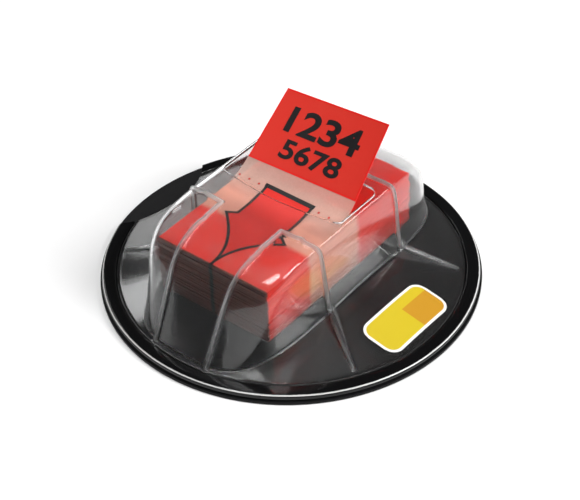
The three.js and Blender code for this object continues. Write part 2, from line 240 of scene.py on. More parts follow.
def step(tree, value, edge, softness=0.02):
    # 0 below the edge and 1 above it
    return mapRange(tree, value, edge - softness, edge + softness)


def below(tree, value, edge, softness=0.02):
    return maths(tree, "SUBTRACT", 1.0, step(tree, value, edge, softness))


def inMillimetres(tree, vector):
    axes = addNode(tree, "ShaderNodeSeparateXYZ", {"Vector": vector})
    return [maths(tree, "DIVIDE", axes.outputs[axis], mm) for axis in "XYZ"]


def newGroup(name, inputs, outputs):
    group = bpy.data.node_groups.new(name, "ShaderNodeTree")
    for label, kind, value in inputs:
        socket = group.interface.new_socket(label, in_out="INPUT", socket_type=kind)
        if value is not None:
            socket.default_value = value
    for label, kind in outputs:
        group.interface.new_socket(label, in_out="OUTPUT", socket_type=kind)
    return group, group.nodes.new("NodeGroupInput"), group.nodes.new("NodeGroupOutput")


def unevenSurface():
    # Large soft blotches and a fine grain, as a roughness and a bump height
    group, start, end = newGroup(
        "unevenSurface",
        [("Coordinates", "NodeSocketVector", None), ("Roughness", "NodeSocketFloat", 0.3),
         ("Spread", "NodeSocketFloat", 0.1), ("Blotch Scale", "NodeSocketFloat", 60.0),
         ("Grain Scale", "NodeSocketFloat", 1500.0), ("Grain Share", "NodeSocketFloat", 0.3)],
        [("Roughness", "NodeSocketFloat"), ("Height", "NodeSocketFloat")])
    swings = []
    for label, detail in (("Blotch Scale", 3.0), ("Grain Scale", 2.0)):
        noise = addNode(group, "ShaderNodeTexNoise", {"Vector": start.outputs["Coordinates"],
                                                      "Scale": start.outputs[label], "Detail": detail})
        swings.append(maths(group, "SUBTRACT", noise.outputs["Fac"], 0.5))
    both = maths(group, "ADD", swings[0], maths(group, "MULTIPLY", swings[1], start.outputs["Grain Share"]))
    rough = maths(group, "ADD", start.outputs["Roughness"],
                  maths(group, "MULTIPLY", both, start.outputs["Spread"]), clamp=True)
    group.links.new(rough, end.inputs["Roughness"])
    group.links.new(both, end.inputs["Height"])
    return group


surfaceGroup = unevenSurface()


def newMaterial(name, roughness, spread, blotch, grain, grainShare, bump, **fixed):
    # A Principled material whose roughness and bump come from the shared group
    material = bpy.data.materials.new(name)
    material.use_nodes = True
    tree = material.node_tree
    shader = tree.nodes["Principled BSDF"]
    place = addNode(tree, "ShaderNodeTexCoord")
    group = addNode(tree, "ShaderNodeGroup", node_tree=surfaceGroup)
    tree.links.new(place.outputs["Object"], group.inputs["Coordinates"])
    for label, value in (("Roughness", roughness), ("Spread", spread), ("Blotch Scale", blotch),
                         ("Grain Scale", grain), ("Grain Share", grainShare)):
        group.inputs[label].default_value = value
    tree.links.new(group.outputs["Roughness"], shader.inputs["Roughness"])
    relief = addNode(tree, "ShaderNodeBump", {"Height": group.outputs["Height"],
                                              "Strength": bump[0], "Distance": bump[1] * mm})
    tree.links.new(relief.outputs["Normal"], shader.inputs["Normal"])
    for label, value in fixed.items():
        shader.inputs[label.replace("_", " ")].default_value = value
    return material, tree, shader, place, group


def tinted(tree, group, colour, swing=0.12):
    # The colour, a little lighter and darker with the surface's own unevenness
    dark = [channel * (1 - swing) for channel in colour]
    light = [min(channel * (1 + swing), 0.95) for channel in colour]
    share = maths(tree, "ADD", group.outputs["Height"], 0.5, clamp=True)
    return mixColour(tree, share, dark, light)


# The base: a soft pad and a glossy tray

pad = {
    "radius": padHigh[0],
    "thickness": padHigh[2],
    "edgeRound": 0.3,
    "turns": 256,
    "colour": (0.0035, 0.0035, 0.004),
    "roughness": 0.5,
}

tray = {
    "radius": trayHigh[0],
    "bottom": trayLow[2],
    "thickness": 0.75,
    "pedestalTop": trayHigh[2],
    "pedestalMargin": 0.6,
    "pedestalCorner": 2.5,
    "pedestalDraft": 0.5,
    "pedestalRound": 0.5,
    "footChamfer": 0.12,
    "ringWidth": 2.7,
    "ringHeight": 0.5,
    "ringRound": 0.35,
    "outerRound": 0.55,
    # a painted highlight along the ring's outer rounding
    "paintedHighlight": (0.62, 0.62, 0.61),
    "paintedHighlightDrop": (0.06, 0.21),
    "paintedHighlightWander": 0.12,
    "paintedHighlightBand": 0.6,
    "turns": 256,
    "colour": (0.003, 0.003, 0.0033),
    "roughness": 0.09,
}

trayTop = tray["bottom"] + tray["thickness"]
ringTop = trayTop + tray["ringHeight"]

notch = {"radius": 18.4, "depth": 7.4, "centreY": 1.0, "turns": 192}


def notchCutter(bottom, top):
    middle = (notch["depth"] - pad["radius"] - notch["radius"], notch["centreY"])
    circle = arc(middle, notch["radius"], 0, 360, notch["turns"])[:-1]
    return ringSolid("notchCutter", [(circle, bottom), (circle, top)])


def padMaterial():
    material, tree, shader, place, group = newMaterial(
        "gripRubber", pad["roughness"], 0.2, 90, 2600, 0.8, (0.35, 0.08), Specular_IOR_Level=0.12)
    tree.links.new(tinted(tree, group, pad["colour"], 0.3), shader.inputs["Base Color"])
    return material


def makePad():
    radius, height, rounding = pad["radius"], pad["thickness"], pad["edgeRound"]
    edge = arc((radius - rounding, rounding), rounding, -90, 0, 6)
    profile = np.vstack([[(0, 0)], edge, [(radius, height), (0, height)]])
    thing = lathe("gripPad", profile, pad["turns"])
    thing.data.materials.append(padMaterial())
    return standsFor(thing, "grip_rubber", "grip_pad")


def trayMaterial():
    material, tree, shader, place, group = newMaterial(
        "blackGloss", tray["roughness"], 0.10, 70, 1900, 0.4, (0.05, 0.02), Specular_IOR_Level=0.32)
    # the ring's outer edge has a painted highlight, a thin bright line just under its top
    x, y, height = inMillimetres(tree, place.outputs["Object"])
    flat = addNode(tree, "ShaderNodeCombineXYZ", {"X": x, "Y": y})
    reach = addNode(tree, "ShaderNodeVectorMath", {0: flat.outputs[0]}, operation="LENGTH").outputs["Value"]
    wander = maths(tree, "MULTIPLY", group.outputs["Height"], tray["paintedHighlightWander"])
    height = maths(tree, "ADD", height, wander)
    least, most = tray["paintedHighlightDrop"]
    line = maths(tree, "MULTIPLY", below(tree, height, ringTop - least, 0.03),
                 step(tree, height, ringTop - most, 0.04))
    line = maths(tree, "MULTIPLY", line, step(tree, reach, tray["radius"] - tray["paintedHighlightBand"], 0.1))
    colour = mixColour(tree, line, tinted(tree, group, tray["colour"], 0.25), tray["paintedHighlight"])
    tree.links.new(colour, shader.inputs["Base Color"])
    return material


def makeTray():
    radius, bottom, chamfer = tray["radius"], tray["bottom"], tray["footChamfer"]
    ringInner = radius - tray["ringWidth"]
    rounding, outer = tray["ringRound"], tray["outerRound"]
    profile = np.vstack([
        [(0, bottom), (radius - chamfer, bottom), (radius, bottom + chamfer)],
        arc((radius - outer, ringTop - outer), outer, 0, 90, 10),
        arc((ringInner + rounding, ringTop - rounding), rounding, 90, 180, 8),
        [(ringInner, trayTop), (0, trayTop)]])
    thing = lathe("baseTray", profile, tray["turns"])
    halfWidth = tabs["width"] / 2 + tray["pedestalMargin"]
    halfLength = tabs["length"] / 2 + tray["pedestalMargin"] - tabs["middleY"]
    rounding = tray["pedestalRound"]
    levels = [(tray["pedestalDraft"], bottom + 0.2),
              *arc((-rounding, tray["pedestalTop"] - rounding), rounding, 0, 90, 5)]
    pedestal = tidyMesh(ringSolid("pedestal", [
        (roundedRectangle(halfWidth + grow, halfLength + grow, tray["pedestalCorner"] + grow), height)
        for grow, height in levels]))
    cutAway(thing, [pedestal], keepTogether=True)
    cutAway(thing, [notchCutter(tray["bottom"] - 1, ringTop + 1)])
    tidyMesh(thing)
    thing.data.materials.clear()
    thing.data.materials.append(trayMaterial())
    return standsFor(thing, "black_plastic", "base_tray")


# The stack of folded films, by Geometry Nodes

tabs = {
    "width": 25.4,
    "length": 43.2,
    "bottom": stackLow[2],
    "top": stackHigh[2],
    "middleY": (stackLow[1] + stackHigh[1]) / 2,
    "films": 54,
    "filmShare": 0.86,
    "slip": 0.16,
    "turn": 0.35,
    "seed": 7,
    "frontRedEnd": -10.4,
    "rearRedStart": 4.2,
    "red": (0.92, 0.020, 0.010),
    "pale": (0.90, 0.40, 0.29),
    "paintedFrontShade": (0.10, 0.022, 0.013),
    "sideRed": (0.94, 0.024, 0.008),
    "paintedShadeHeight": 5.5,
    "zoneSoftness": 0.6,
}


def stackMaterial():
    material, tree, shader, place, group = newMaterial(
        "foldedFilms", 0.42, 0.15, 150, 2200, 0.5, (0.2, 0.03))
    across, along, height = inMillimetres(tree, place.outputs["Object"])
    across = maths(tree, "ABSOLUTE", across)
    # each film's own shade, from a noise that only changes with height
    layer = addNode(tree, "ShaderNodeTexNoise", {"W": height, "Scale": 3.1, "Detail": 1.0},
                    noise_dimensions="1D").outputs["Fac"]
    onSide = step(tree, across, tabs["width"] / 2 - 0.25, 0.1)
    red = mixColour(tree, onSide, tabs["red"], tabs["sideRed"])
    redZone = maths(tree, "ADD", below(tree, along, tabs["frontRedEnd"], tabs["zoneSoftness"]),
                    step(tree, along, tabs["rearRedStart"], tabs["zoneSoftness"]), clamp=True)
    colour = mixColour(tree, redZone, tabs["pale"], red)
    shade = maths(tree, "MULTIPLY_ADD", layer, 0.9, 0.5)
    # the side is painted darker towards the stack's foot, as painted shade
    foot = step(tree, height, tabs["bottom"] + tabs["paintedShadeHeight"] / 2, tabs["paintedShadeHeight"] / 2)
    shade = maths(tree, "MULTIPLY", shade, maths(tree, "MULTIPLY_ADD", foot, 0.7, 0.3))
    grey = addNode(tree, "ShaderNodeCombineColor", {"Red": shade, "Green": shade, "Blue": shade})
    colour = mixColour(tree, maths(tree, "MULTIPLY", onSide, 0.7), colour,
                       mixColour(tree, 1.0, colour, grey.outputs["Color"], "MULTIPLY"))
    # the front face is painted dark, as painted shade; the thin dark line down its middle is the arrow tips'
    # print
    front = tabs["middleY"] - tabs["length"] / 2
    onFront = below(tree, along, front + 0.35, 0.12)
    colour = mixColour(tree, onFront, colour, tabs["paintedFrontShade"])
    tip = maths(tree, "MULTIPLY", onFront, below(tree, across, 0.45, 0.2))
    colour = mixColour(tree, tip, colour, arrow["ink"])
    tree.links.new(colour, shader.inputs["Base Color"])
    return material


def filmStackTree():
    tree = bpy.data.node_groups.new("filmStack", "GeometryNodeTree")
    for label, kind in (("Films", "NodeSocketInt"), ("Pitch", "NodeSocketFloat"), ("Slip", "NodeSocketFloat"),
                        ("Turn", "NodeSocketFloat"), ("Seed", "NodeSocketInt"), ("Size", "NodeSocketVector"),
                        ("Base", "NodeSocketVector"), ("Material", "NodeSocketMaterial")):
        tree.interface.new_socket(label, in_out="INPUT", socket_type=kind)
    tree.interface.new_socket("Geometry", in_out="OUTPUT", socket_type="NodeSocketGeometry")
    start, end = tree.nodes.new("NodeGroupInput"), tree.nodes.new("NodeGroupOutput")

    def given(label):
        return start.outputs[label]

    def scatter(label, axes, seed):
        # a random vector, along the axes and as far either way as the input says
        node = addNode(tree, "FunctionNodeRandomValue", data_type="FLOAT_VECTOR")
        for position, sign in enumerate((-1.0, 1.0)):
            far = maths(tree, "MULTIPLY", given(label), sign)
            vector = addNode(tree, "ShaderNodeCombineXYZ", dict.fromkeys(axes, far))
            tree.links.new(vector.outputs[0], node.inputs[position])
        tree.links.new(seed, node.inputs["Seed"])
        return node.outputs[0]

    offset = addNode(tree, "ShaderNodeCombineXYZ", {"Z": given("Pitch")})
    line = addNode(tree, "GeometryNodeMeshLine", {"Count": given("Films"), "Start Location": given("Base"),
                                                  "Offset": offset.outputs[0]})
    moved = addNode(tree, "GeometryNodeSetPosition", {"Geometry": line.outputs[0],
                                                      "Offset": scatter("Slip", "XY", given("Seed"))})
    turn = scatter("Turn", "Z", maths(tree, "ADD", given("Seed"), 1.0))
    film = addNode(tree, "GeometryNodeMeshCube", {"Size": given("Size"), "Vertices X": 2, "Vertices Y": 8})
    copies = addNode(tree, "GeometryNodeInstanceOnPoints", {
        "Points": moved.outputs[0], "Instance": film.outputs[0], "Rotation": turn})
    real = addNode(tree, "GeometryNodeRealizeInstances", {"Geometry": copies.outputs[0]})
    painted = addNode(tree, "GeometryNodeSetMaterial", {"Geometry": real.outputs[0],
                                                        "Material": given("Material")})
    tree.links.new(painted.outputs[0], end.inputs[0])
    return tree


def makeStack():
    tree = filmStackTree()
    thing = newObject("filmStack", [(0, 0, 0)], [])
    modifier = thing.modifiers.new("films", "NODES")
    modifier.node_group = tree
    pitch = (tabs["top"] - tabs["bottom"]) / tabs["films"]
    thickness = pitch * tabs["filmShare"]
    values = {"Films": tabs["films"], "Pitch": pitch * mm, "Slip": tabs["slip"] * mm,
              "Turn": math.radians(tabs["turn"]), "Seed": tabs["seed"],
              "Size": (tabs["width"] * mm, tabs["length"] * mm, thickness * mm),
              "Base": (0, tabs["middleY"] * mm, (tabs["bottom"] + thickness / 2) * mm),
              "Material": stackMaterial()}
    for item in tree.interface.items_tree:
        if item.in_out == "INPUT":
            modifier[item.identifier] = values[item.name]
    applyModifiers(thing)
    return standsFor(thing, "printed_film", "tab_stack")


# The clear cover

# The cover's form, as in the part's source. Squareness 2 is an ellipse, higher is nearer a rectangle.
cover = {
    "sheet": 0.5,
    "radius": coverHigh[0],
    "rimWidth": 0.5,
    "crownTop": tabs["top"] + 4.0,
    "skirtRise": 10,
    "endFootInset": 0.5,
    "sideClearance": 2,
    "sideDraft": 5.2,
    "frontSlope": 63,
    "crownFall": 0.9,
    "shoulderReach": 1.9,
    "endShoulderReach": 5.4,
    "shoulderInset": 0.15,
    "crownSquareness": 7,
    "cornerSquareness": 10,
    "shoulderSquareness": 8,
    "footSquareness": 3.4,
    "shareSquareness": 9,
    "turns": 220,
    "tint": (0.955, 0.965, 0.965),
    "roughness": 0.075,
    "clearness": 0.995,
    "dust": 0.36,
    "index": 1.44,
}

slot = {"front": -3.1, "back": 9.0, "bow": 1.5, "corner": 1.6, "sideClearance": 0.6, "cutBelow": 3.5}

beads = {
    "width": 1.5,
    "height": 0.42,
    "frost": 0.27,
    "frostWidth": 0.7,
    "creaseWidth": 0.2,
    "fineReach": (1.9, 1.1),
    "frontRibX": 7.0,
    "frontRibFootX": 6.0,
    "frontCrossY": -11.0,
    "rearCrossY": 11.5,
    "rake": 1.8,
    "gussetHeight": 0.95,
    "frontGusset": {"endY": -16.5, "width": 3.6},
    "rearGusset": {"endY": 17.4, "width": 5.2},
}


def coverMaterial():
    material, tree, shader, place, group = newMaterial(
        "clearSheet", cover["roughness"], 0.06, 120, 1400, 0.2, (0.22, 0.12),
        IOR=cover["index"], Transmission_Weight=cover["clearness"], Sheen_Weight=cover["dust"],
        Sheen_Roughness=0.4)
    tree.links.new(tinted(tree, group, cover["tint"], 0.015), shader.inputs["Base Color"])
    # the pressed beads are a little frosted
    pressed = addNode(tree, "ShaderNodeAttribute", attribute_name="pressed", attribute_type="GEOMETRY")
    rough = maths(tree, "ADD", group.outputs["Roughness"],
                  maths(tree, "MULTIPLY", pressed.outputs["Fac"], beads["frost"]), clamp=True)
    tree.links.new(rough, shader.inputs["Roughness"])
    return material


# The cover's surface. The angle turns round the middle. The station runs from 0 at the crown's middle
# over its edge (1), the shoulder (2), the foot (3) and the skirt's end (4) to the rim's edge (5).

def outlineReach(halfWidth, halfLength, squareness, angle):
    across = np.abs(np.cos(angle) / halfWidth) ** squareness
    along = np.abs(np.sin(angle) / halfLength) ** squareness
    return (across + along) ** (-1 / squareness)


rimTop = trayTop + cover["sheet"]
skirtRadius = cover["radius"] - cover["rimWidth"]
coneSlope = math.tan(math.radians(cover["skirtRise"]))


def coneHeight(radius):
    return rimTop + (skirtRadius - radius) * coneSlope


shoulderZ = cover["crownTop"] - cover["shoulderReach"]
endShoulderZ = cover["crownTop"] - cover["endShoulderReach"]
shoulderHalfWidth = tabs["width"] / 2 + cover["sideClearance"] + cover["sheet"]
footDrop = shoulderZ - coneHeight(shoulderHalfWidth)
footHalfWidth = shoulderHalfWidth + footDrop * math.tan(math.radians(cover["sideDraft"]))
footHalfLength = skirtRadius - cover["endFootInset"]


def endRun(height):
    return (height - coneHeight(footHalfLength)) / math.tan(math.radians(cover["frontSlope"]))


shoulderHalfLength = footHalfLength - endRun(endShoulderZ)
cornerHalfLength = footHalfLength - endRun(cover["crownTop"] - cover["crownFall"])
crownHalfWidth = shoulderHalfWidth - cover["shoulderReach"]
crownHalfLength = cornerHalfLength - cover["endShoulderReach"]


def sharpCover(angle, station):
    # radius and height of the outer face, with the creases as drawn
    share = np.abs(outlineReach(shoulderHalfWidth, cornerHalfLength, cover["shareSquareness"], angle)
                   * np.sin(angle) / cornerHalfLength) ** 6
    top, fall = cover["crownTop"], cover["crownFall"]
    edge = (outlineReach(crownHalfWidth, crownHalfLength, cover["crownSquareness"], angle),
            blend(top - fall * 0.3, top - fall, share))
    corner = (outlineReach(shoulderHalfWidth - cover["shoulderInset"], cornerHalfLength,
                           cover["cornerSquareness"], angle), edge[1])
    shoulder = (outlineReach(shoulderHalfWidth, shoulderHalfLength, cover["shoulderSquareness"], angle),
                blend(shoulderZ, endShoulderZ, share))
    footReach = outlineReach(footHalfWidth, footHalfLength, cover["footSquareness"], angle)
    foot = (footReach, coneHeight(footReach))
    on = np.clip(station, 0, 1)
    crown = (edge[0] * on, top - (top - edge[1]) * on ** 2)
    u = np.clip(station - 1, 0, 1)
    bend = [(1 - u) ** 2 * edge[k] + 2 * u * (1 - u) * corner[k] + u ** 2 * shoulder[k] for k in (0, 1)]
    wall = [blend(shoulder[k], foot[k], np.clip(station - 2, 0, 1)) for k in (0, 1)]
    skirtReach = blend(footReach, skirtRadius, np.clip(station - 3, 0, 1))
    rimReach = blend(skirtRadius, cover["radius"], np.clip(station - 4, 0, 1))
    cases = [station <= 1, station <= 2, station <= 3, station <= 4]
    reach = np.select(cases, [crown[0], bend[0], wall[0], skirtReach], rimReach)
    height = np.select(cases, [crown[1], bend[1], wall[1], coneHeight(skirtReach)], rimTop)
    return reach, height


# how far along the surface, in stations, each crease is eased
easedStations = (0, 0.5, 1, 1.5, 2, 2.6, 3, 3.5, 4, 5)
easing = (0, 0.24, 0.40, 0.46, 0.36, 0.14, 0.06, 0.06, 0.02, 0)


def coverPoints(angle, station):
    # the same with its creases eased, by an average over nearby stations
    angle, station = np.broadcast_arrays(np.asarray(angle, float), np.asarray(station, float))
    ease = np.interp(station, easedStations, easing)
    reach, height, total = 0.0, 0.0, 0.0
    for shift, weight in ((-1, 1), (-0.5, 2), (0, 3), (0.5, 2), (1, 1)):
        r, z = sharpCover(angle, station + shift * ease)
        reach, height, total = reach + weight * r, height + weight * z, total + weight
    reach, height = reach / total, height / total
    return np.stack([reach * np.cos(angle), reach * np.sin(angle), height], axis=-1)


def coverNormals(angle, station):
    station = np.clip(station, 0.02, 4.98)
    around = coverPoints(angle + 1e-3, station) - coverPoints(angle - 1e-3, station)
    outward = coverPoints(angle, station + 5e-3) - coverPoints(angle, station - 5e-3)
    return unit(np.cross(outward, around))


# Lines of the pressed beads, as places (angle, station)

def angleWhere(axis, value, station, low, high):
    rising = coverPoints(high, station)[axis] > coverPoints(low, station)[axis]
    for _ in range(26):
        middle = (low + high) / 2
        if (coverPoints(middle, station)[axis] < value) == rising:
            low = middle
        else:
            high = middle
    return (low + high) / 2


def slopeLine(axis, lastStation, values, turn, steps=16):
    stations = np.linspace(1, lastStation, steps + 1)
    wanted = np.linspace(*values, steps + 1)
    return np.array([(angleWhere(axis, value, station, *turn), station)
                     for station, value in zip(stations, wanted)])


def crownLine(start, end, steps=8):
    points = np.linspace(start, end, steps + 1)[:-1]
    angle = np.arctan2(points[:, 1], points[:, 0])
    edge = outlineReach(crownHalfWidth, crownHalfLength, cover["crownSquareness"], angle)
    return np.column_stack([angle, np.hypot(*points.T) / edge])


def placesOf(line):
    return coverPoints(line[:, 0], line[:, 1])


def sideSlope(side, y):
    turn = (-1.35, 1.35) if side > 0 else (math.pi - 1.35, math.pi + 1.35)
    return slopeLine(1, 3, (y, y + beads["rake"]), turn)


def coverLines():
    # each line is its points, its half width and its height at every point
    lines = []
    width, height = beads["width"] / 2, beads["height"]

    def bead(start, slope):
        # from a place on the crown down a slope, the same all along
        points = np.vstack([placesOf(crownLine(start, placesOf(slope[:1])[0, :2])), placesOf(slope)])
        lines.append((points, np.full(len(points), width), np.full(len(points), height)))

    for side in (1, -1):
        top = np.array([side * beads["frontRibX"], beads["frontCrossY"]])
        turn = (-math.pi / 2, -0.5) if side > 0 else (-math.pi / 2, 0.5 - math.pi)
        bead(top, slopeLine(0, 3.1, (top[0], side * beads["frontRibFootX"]), turn))
        cross, rear = [sideSlope(side, beads[place]) for place in ("frontCrossY", "rearCrossY")]
        bead(top, cross)
        bead(np.array([0.0, beads["rearCrossY"]]), rear)
        for slope, gusset in ((cross, beads["frontGusset"]), (rear, beads["rearGusset"])):
            start = placesOf(slope[-1:])[0]
            reach = (skirtRadius - 0.9) ** 2 - gusset["endY"] ** 2
            end = np.array([side * math.sqrt(reach), gusset["endY"]])
            share = np.linspace(0, 1, 24)
            flat = start[:2] + (end - start[:2]) * share[:, None]
            points = np.column_stack([flat, coneHeight(np.hypot(*flat.T))])
            lines.append((points, blend(gusset["width"] / 2, width * 0.7, share),
                          blend(beads["gussetHeight"], height * 0.5, share)))
    return lines


def denseSamples(lines, pitch=0.12):
    samples = []
    for points, widths, heights in lines:
        runs = runsAlong(points)
        places = np.arange(0, runs[-1], pitch)
        samples.append(pointsAt(places, runs, np.column_stack([points, widths, heights])))
    return samples


def treeOf(samples):
    tree = KDTree(len(samples))
    for i, row in enumerate(samples):
        tree.insert(row[:3], i)
    tree.balance()
    return tree


def coverAngles(count):
    # angles that space the points evenly along the shoulder
    fine = np.linspace(0, math.tau, 6001)
    runs = runsAlong(coverPoints(fine, 2.0))
    return np.interp(np.linspace(0, runs[-1], count + 1), runs, fine)


# rows of the grid, closest at the foot, whose small radius catches the light
coverRows = np.concatenate([np.linspace(0.12, 1, 22), np.linspace(1, 2, 9)[1:], np.linspace(2, 2.9, 19)[1:],
                            np.linspace(2.9, 3.08, 13)[1:], np.linspace(3.08, 3.3, 5)[1:],
                            np.linspace(3.3, 4, 16)[1:], np.linspace(4, 5, 4)[1:]])


def coverGrid(whole, samples):
    # the grid lies flat first, column and row as x and y, and gets finer where a bead passes
    angles = coverAngles(cover["turns"])

    def onSurface(flat):
        angle = np.interp(flat[:, 0], np.arange(len(angles)), angles)
        return angle, np.interp(flat[:, 1], np.arange(len(coverRows)), coverRows)

    work = bmesh.new()
    for row in range(len(coverRows)):
        for column in range(len(angles)):
            work.verts.new((column, row, 0))
    work.verts.ensure_lookup_table()
    for corners in gridFaces(len(coverRows), len(angles)):
        work.faces.new([work.verts[i] for i in corners])
    for reach in beads["fineReach"]:
        edges = list(work.edges)
        middles = np.array([((e.verts[0].co + e.verts[1].co) / 2)[:] for e in edges])
        near = []
        for edge, spot in zip(edges, coverPoints(*onSurface(middles))):
            _, found, distance = whole.find(spot)
            if distance < reach + samples[found, 3] - beads["width"] / 2:
                near.append(edge)
        bmesh.ops.subdivide_edges(work, edges=near, cuts=1, use_grid_fill=True)
    work.verts.index_update()
    flat = np.array([v.co[:] for v in work.verts])
    faces = [[v.index for v in face.verts] for face in work.faces]
    ends = [[e.verts[0].index, e.verts[1].index] for e in work.edges if e.is_boundary]
    work.free()
    return flat, faces, ends, onSurface(flat)


def beadLift(spots, lines):
    # how far the beads raise each place, as a rounded ridge along each line
    lift = np.zeros(len(spots))
    for samples in lines:
        tree = treeOf(samples)
        for i, spot in enumerate(spots):
            _, found, distance = tree.find(spot)
            width, height = samples[found, 3:5]
            if distance < width:
                lift[i] = max(lift[i], height * math.cos(distance / width * math.pi / 2) ** 2)
    return lift


def slotOutline():
    half, corner = crownHalfWidth + slot["sideClearance"], slot["corner"]
    front, back, bow = slot["front"], slot["back"], slot["bow"]

    def curve(start, control, end, steps):
        t = np.linspace(0, 1, steps + 1)[:-1, None]
        return (1 - t) ** 2 * np.array(start) + 2 * t * (1 - t) * np.array(control) + t ** 2 * np.array(end)

    left, right = (-half + corner, front - bow * 0.15), (half - corner, front - bow * 0.15)
    return np.vstack([
        curve((-half, front + corner), (-half, front), left, 8),
        curve(left, (0, front - bow * 2), right, 40),
        curve(right, (half, front), (half, front + corner), 8),
        arc((half - corner, back - corner), corner, 0, 90, 10),
        arc((-half + corner, back - corner), corner, 90, 180, 10)])


def markPressed(thing, whole):
    # how strongly each point is pressed: full on a bead, less on the crease at the dome's foot
    crease = treeOf(coverPoints(np.linspace(0, math.tau, 1500), 3.0))
    pressed = thing.data.attributes.new("pressed", "FLOAT", "POINT")
    for vertex in thing.data.vertices:
        onBead = 2 - 2 * whole.find(vertex.co / mm)[2] / beads["frostWidth"]
        onCrease = 1.5 - crease.find(vertex.co / mm)[2] / beads["creaseWidth"]
        pressed.data[vertex.index].value = min(1.0, max(0.0, onBead, onCrease))


def makeCover():
    lines = denseSamples(coverLines())
    samples = np.vstack(lines)
    whole = treeOf(samples)
    flat, faces, ends, (angle, station) = coverGrid(whole, samples)
    spots, normals = coverPoints(angle, station), coverNormals(angle, station)
    outer = spots + normals * beadLift(spots, lines)[:, None]
    inner = outer - normals * cover["sheet"]
    count = len(outer)
    underside = [[i + count for i in reversed(face)] for face in faces]
    closing = [(a, b, b + count, a + count) for row in (len(coverRows) - 1, 0) for a, b in ends
               if max(abs(flat[a, 1] - row), abs(flat[b, 1] - row)) < 0.01]
    thing = newObject("clearCover", np.vstack([outer, inner]), faces + underside + closing)
    tidyMesh(thing)
    stage(f"cover grid has {len(thing.data.polygons)} faces")
    slotCutter = ringSolid("slotCutter", [(slotOutline(), cover["crownTop"] - slot["cutBelow"]),
                                          (slotOutline(), cover["crownTop"] + 1)])
    cutAway(thing, [slotCutter, notchCutter(0, tray["pedestalTop"])])
    tidyMesh(thing)
    markPressed(thing, whole)
    thing.data.materials.clear()
    thing.data.materials.append(coverMaterial())
    return standsFor(thing, "clear_plastic", "clear_cover")


# The drawn tab, as two long edges with a bend between them

drawnTab = {
    "thickness": 0.1,
    "panelLength": 15.2,
    "leanLeft": 35,
    "leanRight": 48,
    "exitHeight": 0.1,
    "exitY": 3.0,
    "exitShift": 0.55,
    "exitTilt": 2.5,
    "liftOffLeft": -5.5,
    "liftOffRight": -7.5,
    "bendReach": 0.38,
    "filmColour": (0.74, 0.50, 0.42),
    "filmAlpha": 0.03,
    "matteAlpha": 0.5,
    "matteStart": (17.5, 23.0),
    "panelColour": (0.74, 0.034, 0.021),
    "edgeColour": (0.80, 0.012, 0.008),
    "edgeWidth": 0.35,
}


def drawnTabMaterial():
    material, tree, shader, place, group = newMaterial(
        "drawnFilm", 0.36, 0.12, 110, 2400, 0.5, (0.12, 0.03))
    printMap = addNode(tree, "ShaderNodeUVMap", uv_map="print")
    axes = addNode(tree, "ShaderNodeSeparateXYZ", {"Vector": printMap.outputs["UV"]})
    across = maths(tree, "ABSOLUTE", axes.outputs["X"])
    along = axes.outputs["Y"]
    panelStart, panelEnd = filmLength - drawnTab["panelLength"], filmLength
    onPanel = step(tree, along, panelStart, 0.06)
    nearSide = step(tree, across, tabs["width"] / 2 - drawnTab["edgeWidth"], 0.05)
    nearEnd = step(tree, along, panelEnd - drawnTab["edgeWidth"], 0.05)
    nearStart = below(tree, along, panelStart + drawnTab["edgeWidth"], 0.05)
    edge = maths(tree, "ADD", maths(tree, "ADD", nearSide, nearEnd), nearStart, clamp=True)
    panel = mixColour(tree, edge, drawnTab["panelColour"], drawnTab["edgeColour"])
    panel = mixColour(tree, maths(tree, "MULTIPLY", group.outputs["Height"], 0.25, clamp=True), panel,
                      (0.85, 0.14, 0.08))
    colour = mixColour(tree, onPanel, drawnTab["filmColour"], panel)
    tree.links.new(colour, shader.inputs["Base Color"])
    start, end = drawnTab["matteStart"]
    matte = step(tree, along, (start + end) / 2, (end - start) / 2)
    veil = maths(tree, "MULTIPLY_ADD", matte, drawnTab["matteAlpha"] - drawnTab["filmAlpha"],
                 drawnTab["filmAlpha"])
    clouds = maths(tree, "MULTIPLY_ADD", group.outputs["Height"], 0.2, veil)
    alpha = maths(tree, "MAXIMUM", onPanel, clouds, clamp=True)
    tree.links.new(alpha, shader.inputs["Alpha"])
    return material


def bezier(points, t):
    a, b, c, d = [np.array(point, float) for point in points]
    t = t[:, None]
    return (1 - t) ** 3 * a + 3 * t * (1 - t) ** 2 * b + 3 * t ** 2 * (1 - t) * c + t ** 3 * d


def tabEdge(side, lean, liftOff, steps=40):
    # points at even shares of the flat part, the bend and the leaning panel
    half = tabs["width"] / 2
    tilt, rise = math.radians(drawnTab["exitTilt"]), math.radians(lean)
    leave = np.array([drawnTab["exitShift"], drawnTab["exitY"], cover["crownTop"] + drawnTab["exitHeight"]])
    leave = leave + np.array([math.cos(tilt), 0, math.sin(tilt)]) * side * half
    up = np.array([0, math.cos(rise), math.sin(rise)])
    front = np.array([side * half, tabs["middleY"] - tabs["length"] / 2, tabs["top"]])
    lift = np.array([side * half, liftOff, tabs["top"]])
    reach = np.linalg.norm(leave - lift) * drawnTab["bendReach"]
    t = np.linspace(0, 1, steps + 1)
    flat = front + (lift - front) * t[:, None]
    bend = bezier([lift, lift + np.array([0, reach, 0]), leave - up * reach, leave], t)
    panel = leave + up * drawnTab["panelLength"] * t[:, None]
    return np.vstack([flat[:-1], bend[:-1], panel])


leftEdge = tabEdge(-1, drawnTab["leanLeft"], drawnTab["liftOffLeft"])
rightEdge = tabEdge(1, drawnTab["leanRight"], drawnTab["liftOffRight"])
filmRuns = runsAlong((leftEdge + rightEdge) / 2)
filmLength = filmRuns[-1]


